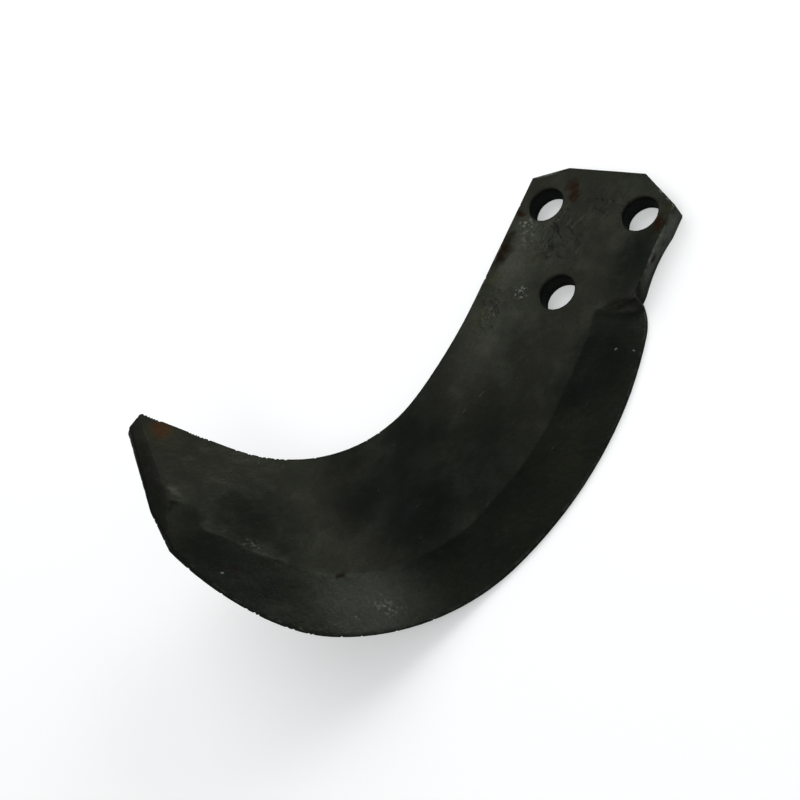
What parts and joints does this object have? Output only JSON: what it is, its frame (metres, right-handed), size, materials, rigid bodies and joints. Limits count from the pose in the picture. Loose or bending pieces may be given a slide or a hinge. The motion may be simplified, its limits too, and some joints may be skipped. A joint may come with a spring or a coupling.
{
  "type": "rotary tiller blade",
  "caption": "Curved, forged steel tine that bolts to a rotary tiller's rotor flange and slices and throws soil with its bevelled outer edge and bent toe.",
  "frame": {"origin": "centre of the bolt hole triangle on the flat back face of the shank", "axes": "+X down the shank away from the rotor, +Y towards the cutting edge, +Z along the bolt holes to the hollow side that the toe bends to"},
  "size_m": [0.2509, 0.1979, 0.0756],
  "materials": {
    "dark_steel": "dark oil-quenched forging skin, satin"
  },
  "bodies": {
    "root": {"blade": "dark_steel"}
  },
  "joints": []
}
